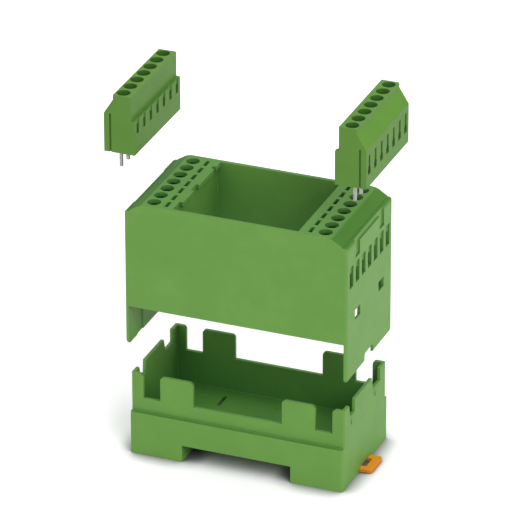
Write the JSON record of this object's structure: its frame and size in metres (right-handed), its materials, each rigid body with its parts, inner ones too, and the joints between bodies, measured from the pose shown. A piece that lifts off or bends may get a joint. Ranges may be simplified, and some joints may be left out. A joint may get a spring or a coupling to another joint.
{
  "type": "rail-mounted electronics enclosure",
  "caption": "Green plastic housing for a 35 mm mounting rail, shown taken apart: base with sliding foot catch, cover with window, two screw terminal rows.",
  "frame": {"origin": "centre of the rail seat, the flat face between the feet that lies on the rail", "axes": "+X across the rail towards the foot catch, +Y along the rail, +Z away from the rail"},
  "size_m": [0.0826, 0.0376, 0.1198],
  "materials": {
    "green_housing": "satin",
    "green_terminal": "satin",
    "orange_catch": "satin",
    "zinc_screw": "zinc plated",
    "plated_cage": "nickel plated",
    "tinned_pin": "tinned"
  },
  "bodies": {
    "lower_housing": {"lower_housing": "green_housing"},
    "foot_catch": {"foot_catch": "orange_catch"},
    "upper_housing": {"upper_housing": "green_housing", "terminal_block_left": "green_terminal", "clamp_cage_left_1": "plated_cage", "solder_pin_left_1": "tinned_pin", "clamp_cage_left_2": "plated_cage", "solder_pin_left_2": "tinned_pin", "clamp_cage_left_3": "plated_cage", "solder_pin_left_3": "tinned_pin", "clamp_cage_left_4": "plated_cage", "solder_pin_left_4": "tinned_pin", "clamp_cage_left_5": "plated_cage", "solder_pin_left_5": "tinned_pin", "clamp_cage_left_6": "plated_cage", "solder_pin_left_6": "tinned_pin", "clamp_cage_left_7": "plated_cage", "solder_pin_left_7": "tinned_pin", "terminal_block_right": "green_terminal", "clamp_cage_right_1": "plated_cage", "solder_pin_right_1": "tinned_pin", "clamp_cage_right_2": "plated_cage", "solder_pin_right_2": "tinned_pin", "clamp_cage_right_3": "plated_cage", "solder_pin_right_3": "tinned_pin", "clamp_cage_right_4": "plated_cage", "solder_pin_right_4": "tinned_pin", "clamp_cage_right_5": "plated_cage", "solder_pin_right_5": "tinned_pin", "clamp_cage_right_6": "plated_cage", "solder_pin_right_6": "tinned_pin", "clamp_cage_right_7": "plated_cage", "solder_pin_right_7": "tinned_pin"},
    "clamp_screw_left_1": {"clamp_screw_left_1": "zinc_screw"},
    "clamp_screw_left_2": {"clamp_screw_left_2": "zinc_screw"},
    "clamp_screw_left_3": {"clamp_screw_left_3": "zinc_screw"},
    "clamp_screw_left_4": {"clamp_screw_left_4": "zinc_screw"},
    "clamp_screw_left_5": {"clamp_screw_left_5": "zinc_screw"},
    "clamp_screw_left_6": {"clamp_screw_left_6": "zinc_screw"},
    "clamp_screw_left_7": {"clamp_screw_left_7": "zinc_screw"},
    "clamp_screw_right_1": {"clamp_screw_right_1": "zinc_screw"},
    "clamp_screw_right_2": {"clamp_screw_right_2": "zinc_screw"},
    "clamp_screw_right_3": {"clamp_screw_right_3": "zinc_screw"},
    "clamp_screw_right_4": {"clamp_screw_right_4": "zinc_screw"},
    "clamp_screw_right_5": {"clamp_screw_right_5": "zinc_screw"},
    "clamp_screw_right_6": {"clamp_screw_right_6": "zinc_screw"},
    "clamp_screw_right_7": {"clamp_screw_right_7": "zinc_screw"}
  },
  "joints": [
    {"name": "catch_slide", "type": "slide", "parent": "lower_housing", "child": "foot_catch", "axis": [1, 0, 0], "range_m": [0, 0.0024], "stiffness_N_per_m": 1500, "springref_m": -0.0006},
    {"name": "hood_slide", "type": "slide", "parent": "lower_housing", "child": "upper_housing", "axis": [0, 0, 1], "range_m": [-0.0355, 0]},
    {"name": "screw_turn_left_1", "type": "hinge", "parent": "upper_housing", "child": "clamp_screw_left_1", "pos_m": [-0.03655, -0.015, 0.10505], "axis": [0, 0, 1], "continuous": true},
    {"name": "screw_turn_left_2", "type": "hinge", "parent": "upper_housing", "child": "clamp_screw_left_2", "pos_m": [-0.03655, -0.01, 0.10505], "axis": [0, 0, 1], "continuous": true},
    {"name": "screw_turn_left_3", "type": "hinge", "parent": "upper_housing", "child": "clamp_screw_left_3", "pos_m": [-0.03655, -0.005, 0.10505], "axis": [0, 0, 1], "continuous": true},
    {"name": "screw_turn_left_4", "type": "hinge", "parent": "upper_housing", "child": "clamp_screw_left_4", "pos_m": [-0.03655, 0, 0.10505], "axis": [0, 0, 1], "continuous": true},
    {"name": "screw_turn_left_5", "type": "hinge", "parent": "upper_housing", "child": "clamp_screw_left_5", "pos_m": [-0.03655, 0.005, 0.10505], "axis": [0, 0, 1], "continuous": true},
    {"name": "screw_turn_left_6", "type": "hinge", "parent": "upper_housing", "child": "clamp_screw_left_6", "pos_m": [-0.03655, 0.01, 0.10505], "axis": [0, 0, 1], "continuous": true},
    {"name": "screw_turn_left_7", "type": "hinge", "parent": "upper_housing", "child": "clamp_screw_left_7", "pos_m": [-0.03655, 0.015, 0.10505], "axis": [0, 0, 1], "continuous": true},
    {"name": "screw_turn_right_1", "type": "hinge", "parent": "upper_housing", "child": "clamp_screw_right_1", "pos_m": [0.0353, -0.015, 0.10705], "axis": [0, 0, 1], "continuous": true},
    {"name": "screw_turn_right_2", "type": "hinge", "parent": "upper_housing", "child": "clamp_screw_right_2", "pos_m": [0.0353, -0.01, 0.10705], "axis": [0, 0, 1], "continuous": true},
    {"name": "screw_turn_right_3", "type": "hinge", "parent": "upper_housing", "child": "clamp_screw_right_3", "pos_m": [0.0353, -0.005, 0.10705], "axis": [0, 0, 1], "continuous": true},
    {"name": "screw_turn_right_4", "type": "hinge", "parent": "upper_housing", "child": "clamp_screw_right_4", "pos_m": [0.0353, 0, 0.10705], "axis": [0, 0, 1], "continuous": true},
    {"name": "screw_turn_right_5", "type": "hinge", "parent": "upper_housing", "child": "clamp_screw_right_5", "pos_m": [0.0353, 0.005, 0.10705], "axis": [0, 0, 1], "continuous": true},
    {"name": "screw_turn_right_6", "type": "hinge", "parent": "upper_housing", "child": "clamp_screw_right_6", "pos_m": [0.0353, 0.01, 0.10705], "axis": [0, 0, 1], "continuous": true},
    {"name": "screw_turn_right_7", "type": "hinge", "parent": "upper_housing", "child": "clamp_screw_right_7", "pos_m": [0.0353, 0.015, 0.10705], "axis": [0, 0, 1], "continuous": true}
  ]
}
